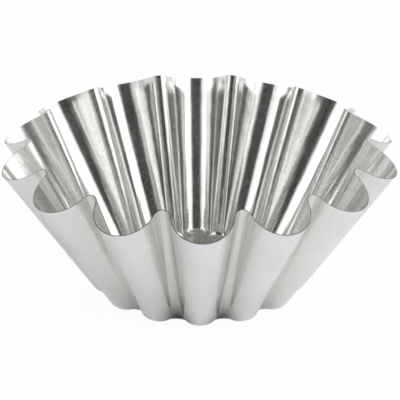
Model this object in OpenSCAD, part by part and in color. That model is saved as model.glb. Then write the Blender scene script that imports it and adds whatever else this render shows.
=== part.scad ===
// Brioche mould pressed from one round of thin tinplate: a small flat foot, a rounded
// bend, and a steep wall of wide round lobes parted by narrow ribs that point inwards.
// Millimetres, +Z up. The origin is the centre of the foot's underside, and the middle
// of one lobe faces -Y.

/* [Rim] */
// Diameter over the lobes at the rim, outside
rim_d = 220; // [190:1:280]
// How far the ribs reach inwards from the lobes at the rim
rim_rib_depth = 17.5; // [12:0.5:20]
// Outside radius of a rib's nose at the rim
rim_rib_r = 4.3; // [3:0.1:6]
// Height of the rim at the middle of a lobe
lobe_h = 75.5; // [50:0.5:110]
// How much higher the rim stands at a rib than at a lobe
rim_rise = 10.3; // [4:0.1:16]

/* [Foot] */
// Diameter over the lobes where the lines of wall and floor would meet, outside
foot_d = 115.5; // [95:0.5:150]
// How far the ribs reach inwards from the lobes at the foot
foot_rib_depth = 5.9; // [3:0.1:7]
// Outside radius of a rib's nose at the foot
foot_rib_r = 5.4; // [4:0.1:7]
// Outside radius of the bend between wall and floor
bend_r = 7; // [4:0.5:8]

/* [Sheet] */
// Number of lobes, and of ribs between them
flutes = 14; // [12:1:16]
// Thickness of the tinplate
sheet_t = 0.5; // [0.3:0.05:1]

/* [Hidden] */
tin = [0.78, 0.78, 0.77];
half_pitch = 180 / flutes;
front = -90;
// Facets across a lobe, across a rib, and round the bend
lobe_steps = 12;
rib_steps = 6;
bend_steps = 3;

// Radius of a lobe that touches the rib beside it, so that the two arcs run into each other
function lobe_radius(outer, inner, nose) =
    let (q = inner + nose, qc = q * cos(half_pitch))
    (outer * outer + q * q - 2 * qc * outer - nose * nose) / (2 * (outer + nose - qc));

// One lobe and the rib after it, as [x, y, outward normal x, outward normal y]
function flute(outer, inner, nose) =
    let (
        lobe = lobe_radius(outer, inner, nose),
        lobe_x = outer - lobe,
        rib_x = (inner + nose) * cos(half_pitch),
        rib_y = (inner + nose) * sin(half_pitch),
        turn = atan2(rib_y, rib_x - lobe_x)
    )
    concat(
        [for (i = [0 : lobe_steps])
            let (a = turn * (2 * i / lobe_steps - 1))
            [lobe_x + lobe * cos(a), lobe * sin(a), cos(a), sin(a)]],
        [for (i = [1 : rib_steps - 1])
            let (a = turn + 2 * (half_pitch - turn) * i / rib_steps)
            [rib_x - nose * cos(a), rib_y - nose * sin(a), cos(a), sin(a)]]
    );

// The flute repeated right round, starting with the front lobe
function outline(d, depth, nose) =
    let (one = flute(d / 2, d / 2 - depth, nose))
    [for (k = [0 : flutes - 1], p = one)
        let (a = front + 2 * half_pitch * k)
        [p.x * cos(a) - p.y * sin(a), p.x * sin(a) + p.y * cos(a),
         p[2] * cos(a) - p[3] * sin(a), p[2] * sin(a) + p[3] * cos(a)]];

function plan(p) = [p.x, p.y];
function normal(p) = [p[2], p[3]];
// A point of the plan moved outwards along its normal, at height z
function out(p, n, z) = [p.x + n.x, p.y + n.y, z];

// The rim follows a cone, because the edge of the round is square to the wall
function rim_z(p) = lobe_h + rim_rise * (rim_d / 2 - norm(plan(p))) / rim_rib_depth;

rim = outline(rim_d, rim_rib_depth, rim_rib_r);
foot = outline(foot_d, foot_rib_depth, foot_rib_r);
columns = len(rim);

// Lean of the wall away from upright, measured square to the outline p
function lean(i, p) = atan2((plan(rim[i]) - plan(foot[i])) * normal(p), rim_z(rim[i]));

// How far the bend starts inside the corner of the foot, and the middle of its arc
function setback(i) = bend_r * tan((90 - lean(i, foot[i])) / 2);
function bend_plan(i) = plan(foot[i]) - setback(i) * normal(foot[i]);

// Points up one skin from the floor's edge to the rim, for the sheet's depth below the outside
function skin(i, depth) =
    let (
        tilt = lean(i, foot[i]),
        r = bend_r - depth,
        bend = [for (k = [0 : bend_steps])
            let (a = -90 + (90 - tilt) * k / bend_steps)
            out(bend_plan(i), r * cos(a) * normal(foot[i]), bend_r + r * sin(a))],
        edge_tilt = lean(i, rim[i]),
        edge = out(plan(rim[i]), -depth * cos(edge_tilt) * normal(rim[i]),
                   rim_z(rim[i]) + depth * sin(edge_tilt))
    )
    concat(bend, [(bend[bend_steps] + edge) / 2, edge]);

function reversed(list) = [for (i = [len(list) - 1 : -1 : 0]) list[i]];

// Everything above the flat floor: the bend and the fluted wall up to the cut rim
module fluted_wall() {
    loops = [for (i = [0 : columns - 1]) concat(skin(i, 0), reversed(skin(i, sheet_t)))];
    rings = len(loops[0]);
    color(tin)
        polyhedron(
            points = [for (l = loops, p = l) p],
            faces = [for (i = [0 : columns - 1], j = [0 : rings - 1])
                let (
                    a = i * rings + j,
                    b = ((i + 1) % columns) * rings + j,
                    c = ((i + 1) % columns) * rings + (j + 1) % rings,
                    d = i * rings + (j + 1) % rings
                )
                each [[a, d, c], [a, c, b]]],
            convexity = 8);
}

// The flat floor inside the bend, which is also what the mould stands on
module base() {
    color(tin)
        linear_extrude(height = sheet_t)
            polygon([for (i = [0 : columns - 1]) bend_plan(i)]);
}

fluted_wall();
base();
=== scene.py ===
import math

import bpy
from mathutils import Matrix, Vector


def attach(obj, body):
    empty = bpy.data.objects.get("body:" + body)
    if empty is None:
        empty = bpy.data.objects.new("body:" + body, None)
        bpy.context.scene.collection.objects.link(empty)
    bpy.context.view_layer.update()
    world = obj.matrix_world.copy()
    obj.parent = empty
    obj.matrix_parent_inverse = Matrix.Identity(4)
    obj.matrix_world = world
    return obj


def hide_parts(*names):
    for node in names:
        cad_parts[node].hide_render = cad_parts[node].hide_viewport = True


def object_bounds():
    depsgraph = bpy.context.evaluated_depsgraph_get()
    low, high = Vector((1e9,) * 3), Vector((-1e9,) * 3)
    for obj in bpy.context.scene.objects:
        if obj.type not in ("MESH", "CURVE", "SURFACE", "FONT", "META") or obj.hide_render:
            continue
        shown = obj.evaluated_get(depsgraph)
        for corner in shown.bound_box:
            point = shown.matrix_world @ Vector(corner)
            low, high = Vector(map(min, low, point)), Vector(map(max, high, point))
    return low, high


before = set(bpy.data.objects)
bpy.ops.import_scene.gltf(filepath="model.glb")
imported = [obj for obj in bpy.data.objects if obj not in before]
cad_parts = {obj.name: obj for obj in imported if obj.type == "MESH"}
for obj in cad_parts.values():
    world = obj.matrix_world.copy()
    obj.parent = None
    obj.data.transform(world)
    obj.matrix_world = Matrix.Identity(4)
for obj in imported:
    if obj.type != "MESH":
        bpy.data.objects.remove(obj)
cadBox = [list(corner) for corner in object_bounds()]
scene = bpy.context.scene
scene.view_settings.view_transform = "Standard"
print("frame loaded, CAD box", cadBox)


# Small helpers for building node trees

def addNode(tree, kind, **settings):
    node = tree.nodes.new(kind)
    for name, value in settings.items():
        setattr(node, name, value)
    return node


def feed(tree, socket, value):
    # a socket is linked, anything else becomes the socket's own value
    if isinstance(value, bpy.types.NodeSocket):
        tree.links.new(value, socket)
    else:
        socket.default_value = value


def calc(tree, operation, *values, clamp=False):
    node = addNode(tree, "ShaderNodeMath", operation=operation, use_clamp=clamp)
    for socket, value in zip(node.inputs, values):
        feed(tree, socket, value)
    return node.outputs[0]


def vectorCalc(tree, operation, first, second=None, scale=None):
    node = addNode(tree, "ShaderNodeVectorMath", operation=operation)
    feed(tree, node.inputs[0], first)
    if second is not None:
        feed(tree, node.inputs[1], second)
    if scale is not None:
        feed(tree, node.inputs["Scale"], scale)
    return node.outputs["Value"] if operation in ("DOT_PRODUCT", "LENGTH") else node.outputs["Vector"]


def joinXyz(tree, x, y, z):
    node = addNode(tree, "ShaderNodeCombineXYZ")
    for socket, value in zip(node.inputs, (x, y, z)):
        feed(tree, socket, value)
    return node.outputs[0]


def newTree(name, inputs, outputs, kind="GeometryNodeTree"):
    tree = bpy.data.node_groups.new(name, kind)
    sockets = {}
    for label, socketType, value in inputs:
        item = tree.interface.new_socket(name=label, in_out="INPUT", socket_type=socketType)
        if value is not None:
            item.default_value = value
        sockets[label] = item.identifier
    for label, socketType in outputs:
        tree.interface.new_socket(name=label, in_out="OUTPUT", socket_type=socketType)
    start, end = tree.nodes.new("NodeGroupInput"), tree.nodes.new("NodeGroupOutput")
    return tree, start.outputs, end.inputs, sockets


# The pressed shell

mould = {
    "flutes": 14,
    "rimRadius": -cadBox[0][1],      # over the lobes, outside
    "rimRibDepth": 0.0175,
    "rimRibRadius": 0.0043,
    "lobeHeight": 0.0755,            # rim height at the middle of a lobe
    "rimRise": 0.0103,               # how much higher the rim stands at a rib
    "footRadius": 0.05775,           # where the lines of wall and floor would meet
    "footRibDepth": 0.0059,
    "footRibRadius": 0.0054,
    "bendRadius": 0.007,
    "sheet": 0.0005,
    "unevenness": 0.0005,            # how far pressing has left the wall out of true
    "unevenSize": 0.045,
    "lobeSteps": 30,
    "ribSteps": 14,
    "floorSteps": 3,
    "bendSteps": 8,
    "wallSteps": 28,
    "creaseAngle": 0.9,              # radians, only the cut edge turns more sharply
    "mergeDistance": 0.00001,
}


def fluteOutlineTree():
    # plan of one lobe and the rib after it: two arcs that run into each other
    tree, given, result, _ = newTree(
        "Flute outline",
        [("Outer", "NodeSocketFloat", None), ("Rib depth", "NodeSocketFloat", None),
         ("Rib radius", "NodeSocketFloat", None), ("Half pitch", "NodeSocketFloat", None),
         ("Across lobe", "NodeSocketFloat", None), ("Across rib", "NodeSocketFloat", None)],
        [("Point", "NodeSocketVector"), ("Normal", "NodeSocketVector")])
    outer, nose, halfPitch = given["Outer"], given["Rib radius"], given["Half pitch"]

    def do(operation, *values):
        return calc(tree, operation, *values)

    reach = do("ADD", do("SUBTRACT", outer, given["Rib depth"]), nose)
    ribX = do("MULTIPLY", reach, do("COSINE", halfPitch))
    ribY = do("MULTIPLY", reach, do("SINE", halfPitch))
    squares = do("ADD", do("MULTIPLY", outer, outer), do("MULTIPLY", reach, reach))
    cross = do("MULTIPLY", do("MULTIPLY", ribX, outer), 2.0)
    above = do("SUBTRACT", do("SUBTRACT", squares, cross), do("MULTIPLY", nose, nose))
    below = do("MULTIPLY", do("SUBTRACT", do("ADD", outer, nose), ribX), 2.0)
    lobe = do("DIVIDE", above, below)
    lobeX = do("SUBTRACT", outer, lobe)
    turn = do("ARCTAN2", ribY, do("SUBTRACT", ribX, lobeX))

    lobeAngle = do("MULTIPLY", turn, do("MULTIPLY_ADD", given["Across lobe"], 2.0, -1.0))
    swing = do("MULTIPLY", do("SUBTRACT", halfPitch, turn), 2.0)
    angle = do("MULTIPLY_ADD", swing, given["Across rib"], lobeAngle)
    facing = joinXyz(tree, do("COSINE", angle), do("SINE", angle), 0.0)
    onLobe = vectorCalc(tree, "ADD", joinXyz(tree, lobeX, 0.0, 0.0),
                        vectorCalc(tree, "SCALE", facing, scale=lobe))
    onRib = vectorCalc(tree, "SUBTRACT", joinXyz(tree, ribX, ribY, 0.0),
                       vectorCalc(tree, "SCALE", facing, scale=nose))
    pick = addNode(tree, "ShaderNodeMix", data_type="VECTOR")
    feed(tree, pick.inputs["Factor"], do("GREATER_THAN", given["Across rib"], 0.0))
    feed(tree, pick.inputs[4], onLobe)
    feed(tree, pick.inputs[5], onRib)
    feed(tree, result["Point"], pick.outputs[1])
    feed(tree, result["Normal"], facing)
    return tree


def shellTree(outside, inside, edge):
    sizes = [("Rim radius", "rimRadius"), ("Rim rib depth", "rimRibDepth"),
             ("Rim rib radius", "rimRibRadius"), ("Lobe height", "lobeHeight"),
             ("Rim rise", "rimRise"), ("Foot radius", "footRadius"),
             ("Foot rib depth", "footRibDepth"), ("Foot rib radius", "footRibRadius"),
             ("Bend radius", "bendRadius"), ("Sheet", "sheet"),
             ("Unevenness", "unevenness"), ("Uneven size", "unevenSize"),
             ("Crease angle", "creaseAngle"), ("Merge distance", "mergeDistance")]
    counts = [("Flutes", "flutes"), ("Lobe steps", "lobeSteps"), ("Rib steps", "ribSteps"),
              ("Floor steps", "floorSteps"), ("Bend steps", "bendSteps"),
              ("Wall steps", "wallSteps")]
    tree, given, result, sockets = newTree(
        "Pressed shell",
        [("Geometry", "NodeSocketGeometry", None)]
        + [(label, "NodeSocketFloat", None) for label, key in sizes]
        + [(label, "NodeSocketInt", None) for label, key in counts],
        [("Geometry", "NodeSocketGeometry")])
    values = {sockets[label]: mould[key] for label, key in sizes + counts}

    def do(operation, *values, clamp=False):
        return calc(tree, operation, *values, clamp=clamp)

    # one flute as a flat grid: columns go round the flute, rows go out over the floor,
    # up the outside, over the edge, down the inside and back to the middle of the floor
    columns = do("ADD", do("ADD", given["Lobe steps"], given["Rib steps"]), 1)
    upOneSkin = do("ADD", do("ADD", given["Floor steps"], given["Bend steps"]),
                   do("ADD", given["Wall steps"], 1))
    rows = do("MULTIPLY", upOneSkin, 2)
    grid = addNode(tree, "GeometryNodeMeshGrid")
    feed(tree, grid.inputs["Vertices X"], columns)
    feed(tree, grid.inputs["Vertices Y"], rows)
    index = addNode(tree, "GeometryNodeInputIndex").outputs[0]
    column = do("FLOOR", do("DIVIDE", do("ADD", index, 0.5), rows))
    row = do("FLOOR", do("SUBTRACT", index, do("MULTIPLY", column, rows)))

    acrossLobe = do("DIVIDE", column, given["Lobe steps"], clamp=True)
    acrossRib = do("DIVIDE", do("SUBTRACT", column, given["Lobe steps"]), given["Rib steps"], clamp=True)
    fromMiddle = do("MINIMUM", row, do("SUBTRACT", do("SUBTRACT", rows, 1), row))
    overFloor = do("DIVIDE", fromMiddle, given["Floor steps"], clamp=True)
    pastFloor = do("SUBTRACT", fromMiddle, given["Floor steps"])
    roundBend = do("DIVIDE", pastFloor, given["Bend steps"], clamp=True)
    upWall = do("DIVIDE", do("SUBTRACT", pastFloor, given["Bend steps"]), given["Wall steps"], clamp=True)
    isInside = do("GREATER_THAN", row, do("SUBTRACT", upOneSkin, 0.5))
    depth = do("MULTIPLY", isInside, given["Sheet"])

    halfPitch = do("DIVIDE", math.pi, given["Flutes"])
    outlineTree = fluteOutlineTree()

    def outline(outer, ribDepth, ribRadius):
        node = addNode(tree, "GeometryNodeGroup", node_tree=outlineTree)
        plan = (outer, ribDepth, ribRadius, halfPitch, acrossLobe, acrossRib)
        for socket, value in zip(node.inputs, plan):
            feed(tree, socket, value)
        return node.outputs["Point"], node.outputs["Normal"]

    rim, rimFacing = outline(given["Rim radius"], given["Rim rib depth"], given["Rim rib radius"])
    foot, footFacing = outline(given["Foot radius"], given["Foot rib depth"], given["Foot rib radius"])

    # the rim lies on a cone, because the sheet is cut square to itself
    inFromLobe = do("SUBTRACT", given["Rim radius"], vectorCalc(tree, "LENGTH", rim))
    rimHeight = do("MULTIPLY_ADD", inFromLobe, do("DIVIDE", given["Rim rise"], given["Rim rib depth"]),
                   given["Lobe height"])
    spread = vectorCalc(tree, "SUBTRACT", rim, foot)

    def lean(facing):
        return do("ARCTAN2", vectorCalc(tree, "DOT_PRODUCT", spread, facing), rimHeight)

    footLean, rimLean = lean(footFacing), lean(rimFacing)
    quarter = math.pi / 2            # a quarter turn
    upright = do("SUBTRACT", quarter, footLean)
    setback = do("MULTIPLY", given["Bend radius"], do("TANGENT", do("MULTIPLY", upright, 0.5)))
    bendMiddle = vectorCalc(tree, "SUBTRACT", foot, vectorCalc(tree, "SCALE", footFacing, scale=setback))
    bendAngle = do("MULTIPLY_ADD", upright, roundBend, -quarter)
    radius = do("SUBTRACT", given["Bend radius"], depth)
    bendOut = vectorCalc(tree, "SCALE", footFacing, scale=do("MULTIPLY", radius, do("COSINE", bendAngle)))
    bendUp = do("MULTIPLY_ADD", radius, do("SINE", bendAngle), given["Bend radius"])
    onBend = vectorCalc(tree, "ADD", bendMiddle, bendOut)
    low = vectorCalc(tree, "ADD", vectorCalc(tree, "SCALE", onBend, scale=overFloor),
                     joinXyz(tree, 0.0, 0.0, bendUp))
    edgeIn = vectorCalc(tree, "SCALE", rimFacing, scale=do("MULTIPLY", depth, do("COSINE", rimLean)))
    edgeUp = do("MULTIPLY_ADD", depth, do("SINE", rimLean), rimHeight)
    edgePlan = vectorCalc(tree, "SUBTRACT", rim, edgeIn)
    high = vectorCalc(tree, "ADD", edgePlan, joinXyz(tree, 0.0, 0.0, edgeUp))
    place = addNode(tree, "ShaderNodeMix", data_type="VECTOR")
    feed(tree, place.inputs["Factor"], upWall)
    feed(tree, place.inputs[4], low)
    feed(tree, place.inputs[5], high)

    shaped = addNode(tree, "GeometryNodeSetPosition")
    feed(tree, shaped.inputs["Geometry"], grid.outputs["Mesh"])
    feed(tree, shaped.inputs["Position"], place.outputs[1])

    def keep(geometry, name, dataType, value, domain="POINT"):
        node = addNode(tree, "GeometryNodeStoreNamedAttribute", data_type=dataType, domain=domain)
        feed(tree, node.inputs["Geometry"], geometry)
        feed(tree, node.inputs["Name"], name)
        feed(tree, node.inputs["Value"], value)
        return node.outputs[0]

    marked = keep(shaped.outputs[0], "upWall", "FLOAT", upWall)
    marked = keep(marked, "isInside", "FLOAT", isInside)
    # 0 along the middle of a lobe and 1 along a rib. It starts in the first quarter of the bend,
    # so that the flat floor has none of it.
    pastFlat = do("MULTIPLY", roundBend, 4.0, clamp=True)
    inGroove = do("MULTIPLY", do("DIVIDE", inFromLobe, given["Rim rib depth"]), pastFlat)
    marked = keep(marked, "inGroove", "FLOAT", inGroove)
    marked = keep(marked, "isEdge", "FLOAT", do("GREATER_THAN", fromMiddle, do("SUBTRACT", upOneSkin, 1.5)))
    marked = keep(marked, "rimPlace", "FLOAT_VECTOR", rim)

    # the same flute turned round the axis, starting with the lobe at the front
    spots = addNode(tree, "GeometryNodePoints")
    feed(tree, spots.inputs["Count"], given["Flutes"])
    copies = addNode(tree, "GeometryNodeInstanceOnPoints")
    feed(tree, copies.inputs["Points"], spots.outputs[0])
    feed(tree, copies.inputs["Instance"], marked)
    which = addNode(tree, "GeometryNodeInputIndex").outputs[0]
    heading = do("SUBTRACT", do("MULTIPLY", which, do("MULTIPLY", halfPitch, 2.0)), quarter)
    feed(tree, copies.inputs["Rotation"], joinXyz(tree, 0.0, 0.0, heading))
    headed = keep(copies.outputs[0], "heading", "FLOAT", heading, "INSTANCE")
    realised = addNode(tree, "GeometryNodeRealizeInstances")
    feed(tree, realised.inputs[0], headed)

    def read(name, dataType="FLOAT"):
        node = addNode(tree, "GeometryNodeInputNamedAttribute", data_type=dataType)
        feed(tree, node.inputs["Name"], name)
        return node.outputs["Attribute"]

    # each line up the wall keeps the place where it meets the rim, for streaks that follow it
    turned = addNode(tree, "ShaderNodeVectorRotate", rotation_type="Z_AXIS")
    feed(tree, turned.inputs["Vector"], read("rimPlace", "FLOAT_VECTOR"))
    feed(tree, turned.inputs["Angle"], read("heading"))
    lined = keep(realised.outputs[0], "rimPlace", "FLOAT_VECTOR", turned.outputs[0])
    # neighbouring flutes join here, and so do the points in the middle of the floor
    merged = addNode(tree, "GeometryNodeMergeByDistance")
    feed(tree, merged.inputs["Geometry"], lined)
    feed(tree, merged.inputs["Distance"], given["Merge distance"])

    # shallow hollows that the press left, always inwards, so the sheet stays within its size
    position = addNode(tree, "GeometryNodeInputPosition").outputs[0]
    noise = addNode(tree, "ShaderNodeTexNoise", noise_dimensions="3D")
    feed(tree, noise.inputs["Vector"], position)
    feed(tree, noise.inputs["Scale"], do("DIVIDE", 1.0, given["Uneven size"]))
    feed(tree, noise.inputs["Detail"], 1.0)
    hollow = do("MULTIPLY", do("MULTIPLY", noise.outputs[0], given["Unevenness"]), read("upWall"))
    outwards = vectorCalc(tree, "NORMALIZE", vectorCalc(tree, "MULTIPLY", position, (1.0, 1.0, 0.0)))
    worn = addNode(tree, "GeometryNodeSetPosition")
    feed(tree, worn.inputs["Geometry"], merged.outputs[0])
    inwards = vectorCalc(tree, "SCALE", outwards, scale=do("MULTIPLY", hollow, -1.0))
    feed(tree, worn.inputs["Offset"], inwards)

    # smooth everywhere but along the cut edge
    turning = addNode(tree, "GeometryNodeInputMeshEdgeAngle")
    smooth = addNode(tree, "GeometryNodeSetShadeSmooth", domain="FACE")
    feed(tree, smooth.inputs["Geometry"], worn.outputs[0])
    creased = addNode(tree, "GeometryNodeSetShadeSmooth", domain="EDGE")
    feed(tree, creased.inputs[0], smooth.outputs[0])
    feed(tree, creased.inputs[1], do("GREATER_THAN", turning.outputs[0], given["Crease angle"]))
    feed(tree, creased.inputs[2], False)

    # outside, inside and cut edge each have their own finish
    last = creased.outputs[0]
    finishes = ((outside, None), (inside, do("GREATER_THAN", read("isInside"), 0.5)),
                (edge, do("GREATER_THAN", read("isEdge"), 0.99)))
    for material, where in finishes:
        paint = addNode(tree, "GeometryNodeSetMaterial")
        feed(tree, paint.inputs["Geometry"], last)
        if where is not None:
            feed(tree, paint.inputs["Selection"], where)
        feed(tree, paint.inputs["Material"], material)
        last = paint.outputs[0]
    feed(tree, result["Geometry"], last)
    return tree, values


def buildShell(outside, inside, edge):
    holder = bpy.data.objects.new("shellMaker", bpy.data.meshes.new("shellMaker"))
    scene.collection.objects.link(holder)
    tree, values = shellTree(outside, inside, edge)
    maker = holder.modifiers.new("Pressed shell", "NODES")
    maker.node_group = tree
    for identifier, value in values.items():
        maker[identifier] = value
    ready = holder.evaluated_get(bpy.context.evaluated_depsgraph_get())
    shell = bpy.data.objects.new("pressed_shell", bpy.data.meshes.new_from_object(ready))
    scene.collection.objects.link(shell)
    bpy.data.objects.remove(holder)
    return shell


# Finishes

tinplate = {
    "insideTin": (0.80, 0.805, 0.78),
    "outsideTin": (0.80, 0.80, 0.80),
    "grooveBounceTin": (0.805, 0.80, 0.75),    # a warmer tin in the grooves between the lobes: painted reflection of the light that bounces between neighbouring lobes
    # the cut edge is darkened: painted shade, for the thin shadowed line along the rim
    "shadedEdgeTin": (0.36, 0.36, 0.35),
    "insideRoughness": 0.16,
    "outsideRoughness": 0.23,
    "edgeRoughness": 0.25,
    "smudgeSize": 0.02,
    "grainSize": 0.0012,
    "streakWidth": 0.0012,
    "scratchDepth": 0.000006,
    "rippleDepth": 0.00025,              # waves in the sheet, too shallow to see but for what they mirror
    "rippleSize": 0.014,
    "haze": 0.06,                        # share of the light that the surface scatters
    # painted shade in the grooves between the lobes
    "grooveShade": 0.12,
    "grooveShadeCurve": 1.5,             # above 1 it keeps to the bottom of the groove
    # painted shade at the foot of the grooves, for the mirrored contact shadow, strongest on one side
    "footShade": 0.84,
    "footShadeCurve": 0.6,
    "footShadeFall": 9.0,                # how fast it thins out up the wall
    "shadeSide": (-0.05, -0.999, 0.0),   # the side of the foot where the painted shade is strongest, the side that faces the dark front of the room
    "shadeSpread": 12.0,                 # higher keeps it closer to that side
    "shadeElsewhere": 0.15,              # share of it that the other side gets
}


def tinWearGroup():
    # smudges, streaks that follow the wall, and fine grain: a colour factor, a roughness, a
    # height in metres, and how much of the light the surface scatters
    tree, given, result, _ = newTree(
        "Tin wear",
        [("Vector", "NodeSocketVector", None), ("Rim place", "NodeSocketVector", None),
         ("Up wall", "NodeSocketFloat", 0.0), ("Smudge size", "NodeSocketFloat", 0.02),
         ("Smudge strength", "NodeSocketFloat", 0.05), ("Streak width", "NodeSocketFloat", 0.001),
         ("Streak strength", "NodeSocketFloat", 0.05), ("Grain size", "NodeSocketFloat", 0.001),
         ("Grain strength", "NodeSocketFloat", 0.1),
         ("Scratch depth", "NodeSocketFloat", 0.0), ("Ripple depth", "NodeSocketFloat", 0.0),
         ("Ripple size", "NodeSocketFloat", 0.01), ("Roughness", "NodeSocketFloat", 0.3),
         ("Haze", "NodeSocketFloat", 0.05)],
        [("Tone", "NodeSocketFloat"), ("Roughness", "NodeSocketFloat"), ("Height", "NodeSocketFloat"),
         ("Haze", "NodeSocketFloat")],
        kind="ShaderNodeTree")
    streakDrift = 2.0        # streak widths by which the pattern changes from foot to rim
    markRoughness = 0.8      # how far the marks change the roughness
    leastRoughness = 0.6     # the smoothest that they leave it, as a share
    grainRelief = 0.4        # relief of the grain as a share of a streak's
    floorRipple = 0.3        # ripples left on the flat floor, as a share of the wall's
    grainHaze = 2.0
    hazeContrast = 2.0

    def noise(vector, size, detail):
        node = addNode(tree, "ShaderNodeTexNoise")
        feed(tree, node.inputs["Vector"], vector)
        feed(tree, node.inputs["Scale"], calc(tree, "DIVIDE", 1.0, size))
        feed(tree, node.inputs["Detail"], detail)
        return node.outputs[0]

    rise = joinXyz(tree, 0.0, 0.0, calc(tree, "MULTIPLY", given["Up wall"], given["Streak width"]))
    along = vectorCalc(tree, "ADD", given["Rim place"], vectorCalc(tree, "SCALE", rise, scale=streakDrift))
    cloud = calc(tree, "SUBTRACT", noise(given["Vector"], given["Smudge size"], 4.0), 0.5)
    onWall = calc(tree, "MULTIPLY", given["Up wall"], 20.0, clamp=True)    # 0 on the floor and the bend
    drawn = calc(tree, "SUBTRACT", noise(along, given["Streak width"], 3.0), 0.5)
    streak = calc(tree, "MULTIPLY", drawn, onWall)
    grain = calc(tree, "SUBTRACT", noise(given["Vector"], given["Grain size"], 2.0), 0.5)
    marks = calc(tree, "ADD", calc(tree, "MULTIPLY", cloud, given["Smudge strength"]),
                 calc(tree, "MULTIPLY", streak, given["Streak strength"]))
    speckled = calc(tree, "MULTIPLY_ADD", grain, given["Grain strength"], marks)
    feed(tree, result["Tone"], calc(tree, "ADD", 1.0, speckled))
    uneven = calc(tree, "MULTIPLY_ADD", marks, markRoughness, given["Roughness"])
    smoothest = calc(tree, "MULTIPLY", given["Roughness"], leastRoughness)
    feed(tree, result["Roughness"], calc(tree, "MAXIMUM", uneven, smoothest))
    rough = calc(tree, "MULTIPLY_ADD", grain, grainRelief, streak)
    scratched = calc(tree, "MULTIPLY", rough, given["Scratch depth"])
    wave = calc(tree, "MULTIPLY", noise(given["Vector"], given["Ripple size"], 1.0), given["Ripple depth"])
    share = calc(tree, "MULTIPLY_ADD", onWall, 1.0 - floorRipple, floorRipple)
    ripple = calc(tree, "MULTIPLY", wave, share)
    feed(tree, result["Height"], calc(tree, "ADD", scratched, ripple))
    patchy = calc(tree, "ADD", calc(tree, "ADD", streak, cloud), calc(tree, "MULTIPLY", grain, grainHaze))
    hazy = calc(tree, "MULTIPLY_ADD", patchy, hazeContrast, 1.0)
    feed(tree, result["Haze"], calc(tree, "MULTIPLY", given["Haze"], calc(tree, "MAXIMUM", hazy, 0.0)))
    return tree


tinWear = tinWearGroup()


def tinMaterial(name, tin, roughness, smudge, streak, grain, grooveStreak=0.0, paintedShade=0.0):
    material = bpy.data.materials.new(name)
    material.use_nodes = True
    tree = material.node_tree
    surface = tree.nodes["Principled BSDF"]

    def stored(attribute, output="Fac"):
        return addNode(tree, "ShaderNodeAttribute", attribute_name=attribute).outputs[output]

    wear = addNode(tree, "ShaderNodeGroup", node_tree=tinWear)
    values = {
        "Vector": addNode(tree, "ShaderNodeTexCoord").outputs["Object"],
        "Rim place": stored("rimPlace", "Vector"),
        "Up wall": stored("upWall"),
        "Smudge size": tinplate["smudgeSize"],
        "Smudge strength": smudge,
        "Streak width": tinplate["streakWidth"],
        "Streak strength": calc(tree, "MULTIPLY_ADD", stored("inGroove"), grooveStreak, streak),
        "Grain size": tinplate["grainSize"],
        "Grain strength": grain,
        "Scratch depth": tinplate["scratchDepth"],
        "Ripple depth": tinplate["rippleDepth"],
        "Ripple size": tinplate["rippleSize"],
        "Roughness": roughness,
        "Haze": tinplate["haze"],
    }
    for socket, value in values.items():
        feed(tree, wear.inputs[socket], value)
    tone = wear.outputs["Tone"]
    tint = addNode(tree, "ShaderNodeVectorMath", operation="SCALE")
    feed(tree, tint.inputs[0], tin)
    if paintedShade:
        # painted shade: the grooves between the lobes are darkened, most of all at the foot, where it
        # stands in for the mirrored contact shadow
        grooved = calc(tree, "POWER", stored("inGroove"), tinplate["grooveShadeCurve"])
        deep = calc(tree, "MULTIPLY", grooved, paintedShade)
        # the painted shade at the foot is strongest on the side that faces the dark front of the room
        level = vectorCalc(tree, "MULTIPLY", values["Vector"], (1.0, 1.0, 0.0))
        heading = vectorCalc(tree, "NORMALIZE", level)
        toSide = vectorCalc(tree, "DOT_PRODUCT", heading, tinplate["shadeSide"])
        onSide = calc(tree, "POWER", calc(tree, "MULTIPLY_ADD", toSide, 0.5, 0.5), tinplate["shadeSpread"])
        elsewhere = tinplate["shadeElsewhere"]
        share = calc(tree, "MULTIPLY_ADD", onSide, 1.0 - elsewhere, elsewhere)
        belowTop = calc(tree, "SUBTRACT", 1.0, stored("upWall"))
        low = calc(tree, "MULTIPLY", calc(tree, "POWER", belowTop, tinplate["footShadeFall"]), share)
        footGroove = calc(tree, "POWER", stored("inGroove"), tinplate["footShadeCurve"])
        atFoot = calc(tree, "MULTIPLY", footGroove, low)
        shaded = calc(tree, "MULTIPLY_ADD", atFoot, tinplate["footShade"], deep)
        tone = calc(tree, "MULTIPLY", tone, calc(tree, "SUBTRACT", 1.0, shaded, clamp=True))
        # painted reflection: the grooves take a warmer tin, for light bounced between the lobes
        bounceTinted = addNode(tree, "ShaderNodeMix", data_type="VECTOR")
        feed(tree, bounceTinted.inputs["Factor"], stored("inGroove"))
        feed(tree, bounceTinted.inputs[4], tin)
        feed(tree, bounceTinted.inputs[5], tinplate["grooveBounceTin"])
        feed(tree, tint.inputs[0], bounceTinted.outputs[1])
    feed(tree, tint.inputs["Scale"], tone)
    feed(tree, surface.inputs["Base Color"], tint.outputs[0])
    feed(tree, surface.inputs["Metallic"], calc(tree, "SUBTRACT", 1.0, wear.outputs["Haze"]))
    feed(tree, surface.inputs["Roughness"], wear.outputs["Roughness"])
    relief = addNode(tree, "ShaderNodeBump")
    relief.inputs["Distance"].default_value = 1.0      # the height is already in metres
    feed(tree, relief.inputs["Height"], wear.outputs["Height"])
    feed(tree, surface.inputs["Normal"], relief.outputs[0])
    return material


outsideTin = tinMaterial("satinTinOutside", tinplate["outsideTin"], tinplate["outsideRoughness"],
                         smudge=0.22, streak=0.06, grain=0.1, grooveStreak=0.4,
                         paintedShade=tinplate["grooveShade"])
insideTin = tinMaterial("brightTinInside", tinplate["insideTin"], tinplate["insideRoughness"],
                        smudge=0.06, streak=0.16, grain=0.5)
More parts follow.
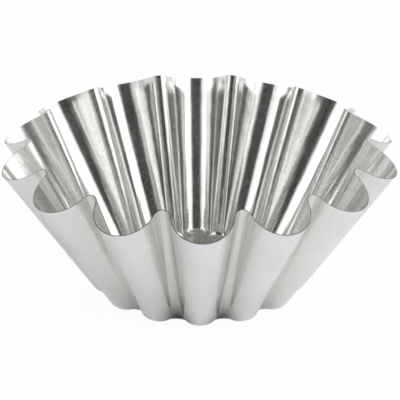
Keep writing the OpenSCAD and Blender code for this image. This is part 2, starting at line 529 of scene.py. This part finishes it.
# the cut edge's dark tone is painted shade
shadedEdgeTin = tinMaterial("cutTinEdge", tinplate["shadedEdgeTin"], tinplate["edgeRoughness"],
                      smudge=0.05, streak=0.05, grain=0.2)
print("finishes made")

shell = buildShell(outsideTin, insideTin, shadedEdgeTin)
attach(shell, "root")
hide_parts("fluted_wall", "base")
print("shell made,", len(shell.data.polygons), "faces")


# Studio

studio = {
    "floorSize": 12.0,
    "floorDrop": 0.0002,         # how far the floor lies below the mould
    "floorColour": (0.88, 0.88, 0.90, 1.0),
    "backgroundShare": 0.96,     # how much of the floor's look is plain background white
    "mirroredShare": 0.35,       # the same in reflections and through glass
    "worldStrength": 0.75,       # how strongly the background lights things
    "mirroredWorld": 0.67,       # what polished metal sees where there is no card
    "roomTint": (1.0, 1.01, 0.94),    # of every card that isn't a softbox
    "cardDistance": 2.3,
    "cardStep": 0.02,            # each card stands this much nearer than the one before
    "keyPlace": (0.8, -1.05, 2.2),
    "keySize": 1.5,
    "keyPower": 25.0,
    "cameraPlace": (-0.03632, -1.58836, 0.80061),
    "cameraForward": (0.02110, 0.90374, -0.42756),
    "cameraRoll": 0.407,         # degrees
    "lens": 286.0,
    "cameraReach": 50.0,
}

# cards that stand round the mould and lean: the headings they run between at the bottom and
# at the top, clockwise from the far side, their elevations, how bright they are, and the
# width of their soft edge. Later ones stand in front.
cards = {
    "backWall": ((128, 240), (128, 240), (-8, 12), 0.5, 4),
    "leftSoftbox": ((-126, -48), (-153, -71), (12, 49), 1.6, 13),
    "rightSoftbox": ((54, 142), (62, 156), (-9, 56), 1.6, 13),
    "darkRoom": ((147, 220), (146, 219), (14, 59), 0.04, 8),
    "darkRail": ((113, 247), (120, 238), (6, 24), 0.16, 5),
    "leftGap": ((-86, -50), (-92, -60), (6, 16), 0.2, 3),
    "rightGap": ((48, 80), (53, 72), (6, 16), 0.3, 3),
}

# round cards overhead: the middle, the radius and how bright they are
ceilings = {
    "ceiling": ((-0.3, 0.2, 2.5), 1.8, 0.22),
    "paleCeiling": ((0.75, 0.35, 2.4), 0.55, 0.45),
}


def plainShare(tree, seen, mirrored, otherwise):
    # one value for the camera, one for mirror-like reflections and for what shows through
    # glass, and one for the light that falls on things
    path = addNode(tree, "ShaderNodeLightPath")
    bounced = calc(tree, "MAXIMUM", path.outputs["Is Glossy Ray"], path.outputs["Is Transmission Ray"])
    indirect = calc(tree, "MULTIPLY_ADD", bounced, mirrored - otherwise, otherwise)
    direct = calc(tree, "MULTIPLY", path.outputs["Is Camera Ray"], seen)
    rest = calc(tree, "MULTIPLY", calc(tree, "SUBTRACT", 1.0, path.outputs["Is Camera Ray"]), indirect)
    return calc(tree, "ADD", direct, rest)


def floorMaterial():
    # matt, but nearly plain white to the camera, and clear when it is seen from below
    material = bpy.data.materials.new("paleFloor")
    material.use_nodes = True
    tree = material.node_tree
    tree.nodes.remove(tree.nodes["Principled BSDF"])
    matt = addNode(tree, "ShaderNodeBsdfDiffuse")
    matt.inputs["Color"].default_value = studio["floorColour"]
    glow = addNode(tree, "ShaderNodeEmission")
    clear = addNode(tree, "ShaderNodeBsdfTransparent")
    share = plainShare(tree, studio["backgroundShare"], studio["mirroredShare"], 0.0)
    mix, twoSided = addNode(tree, "ShaderNodeMixShader"), addNode(tree, "ShaderNodeMixShader")
    feed(tree, mix.inputs[0], share)
    feed(tree, mix.inputs[1], matt.outputs[0])
    feed(tree, mix.inputs[2], glow.outputs[0])
    feed(tree, twoSided.inputs[0], addNode(tree, "ShaderNodeNewGeometry").outputs["Backfacing"])
    feed(tree, twoSided.inputs[1], mix.outputs[0])
    feed(tree, twoSided.inputs[2], clear.outputs[0])
    feed(tree, tree.nodes["Material Output"].inputs[0], twoSided.outputs[0])
    return material


def makeFloor():
    half, height = studio["floorSize"] / 2, -studio["floorDrop"]
    corners = [(x, y, height) for x, y in ((-half, -half), (half, -half), (half, half), (-half, half))]
    mesh = bpy.data.meshes.new("floor")
    mesh.from_pydata(corners, [], [(0, 1, 2, 3)])
    mesh.materials.append(floorMaterial())
    floor = bpy.data.objects.new("floor", mesh)
    scene.collection.objects.link(floor)


def makeWorld():
    world = bpy.data.worlds.new("studio")
    world.use_nodes = True
    scene.world = world
    tree = world.node_tree
    tree.nodes["Background"].inputs["Color"].default_value = (1.0, 1.0, 1.0, 1.0)
    strength = plainShare(tree, 1.0, studio["mirroredWorld"], studio["worldStrength"])
    feed(tree, tree.nodes["Background"].inputs["Strength"], strength)


def addCard(name, corners, solidity, faces, tone):
    # shows in reflections and lights the floor, but the camera doesn't see it
    material = bpy.data.materials.new(name)
    material.use_nodes = True
    tree = material.node_tree
    tree.nodes.remove(tree.nodes["Principled BSDF"])
    glow, clear = addNode(tree, "ShaderNodeEmission"), addNode(tree, "ShaderNodeBsdfTransparent")
    # the two softboxes are white, and every card that is dimmer is a little olive
    tint = (1.0, 1.0, 1.0) if tone > 1.0 else studio["roomTint"]
    glow.inputs["Color"].default_value = [tone * share for share in tint] + [1.0]
    mix = addNode(tree, "ShaderNodeMixShader")
    solid = addNode(tree, "ShaderNodeAttribute", attribute_name="solidity").outputs["Fac"]
    feed(tree, mix.inputs[0], solid)
    feed(tree, mix.inputs[1], clear.outputs[0])
    feed(tree, mix.inputs[2], glow.outputs[0])
    feed(tree, tree.nodes["Material Output"].inputs[0], mix.outputs[0])
    mesh = bpy.data.meshes.new(name)
    mesh.from_pydata(corners, [], faces)
    mesh.attributes.new("solidity", "FLOAT", "POINT").data.foreach_set("value", solidity)
    mesh.materials.append(material)
    card = bpy.data.objects.new(name, mesh)
    scene.collection.objects.link(card)
    card.visible_camera = card.visible_shadow = False


def makeCards():
    across, up = 40, 16          # faces in each card
    solidShare, fadedShare = 0.8, 1.1    # where a round card's soft edge starts and ends
    distance = studio["cardDistance"]
    for name, (bottom, top, elevations, tone, softness) in cards.items():
        lowest, highest = [math.tan(math.radians(elevation)) for elevation in elevations]
        corners, solidity = [], []
        for row in range(up + 1):
            height = lowest + (highest - lowest) * row / up
            elevation = math.degrees(math.atan(height))
            fromEnds = min(elevation - elevations[0], elevations[1] - elevation)
            left, right = [b + (t - b) * row / up for b, t in zip(bottom, top)]
            for column in range(across + 1):
                heading = left + (right - left) * column / across
                fromSides = min(heading - left, right - heading)
                corners.append((distance * math.sin(math.radians(heading)),
                                distance * math.cos(math.radians(heading)), distance * height))
                solidity.append(min(1.0, fromEnds / softness, fromSides / softness))
        faces = [(first, first + 1, first + across + 2, first + across + 1)
                 for row in range(up)
                 for first in range(row * (across + 1), row * (across + 1) + across)]
        addCard(name, corners, solidity, faces, tone)
        distance -= studio["cardStep"]
    nextOne = [(column + 1) % across for column in range(across)]
    faces = [(0, 1 + column, 1 + nextOne[column]) for column in range(across)]
    faces += [(1 + column, 1 + across + column, 1 + across + nextOne[column], 1 + nextOne[column])
              for column in range(across)]
    for name, ((right, back, height), size, tone) in ceilings.items():
        corners, solidity = [(right, back, height)], [1.0]
        for radius, solid in ((solidShare * size, 1.0), (fadedShare * size, 0.0)):
            for column in range(across):
                turn = 2 * math.pi * column / across
                corners.append((right + radius * math.cos(turn), back + radius * math.sin(turn), height))
                solidity.append(solid)
        addCard(name, corners, solidity, faces, tone)


def makeKeyLight():
    # aimed at the mould, and left out of what the tin mirrors
    lamp = bpy.data.lights.new("key", "AREA")
    lamp.size = studio["keySize"]
    lamp.energy = studio["keyPower"]
    light = bpy.data.objects.new("key", lamp)
    light.location = studio["keyPlace"]
    light.rotation_euler = (-Vector(studio["keyPlace"])).to_track_quat("-Z", "Y").to_euler()
    light.visible_glossy = False
    scene.collection.objects.link(light)


def makeCamera():
    data = bpy.data.cameras.new("camera")
    data.lens, data.sensor_width = studio["lens"], 36.0
    data.clip_end = studio["cameraReach"]
    camera = bpy.data.objects.new("camera", data)
    aimed = Vector(studio["cameraForward"]).to_track_quat("-Z", "Y").to_matrix()
    rolled = aimed @ Matrix.Rotation(math.radians(studio["cameraRoll"]), 3, "Z")
    camera.matrix_world = Matrix.Translation(studio["cameraPlace"]) @ rolled.to_4x4()
    scene.collection.objects.link(camera)
    scene.camera = camera


makeFloor()
makeWorld()
makeCards()
makeKeyLight()
makeCamera()
print("studio made")
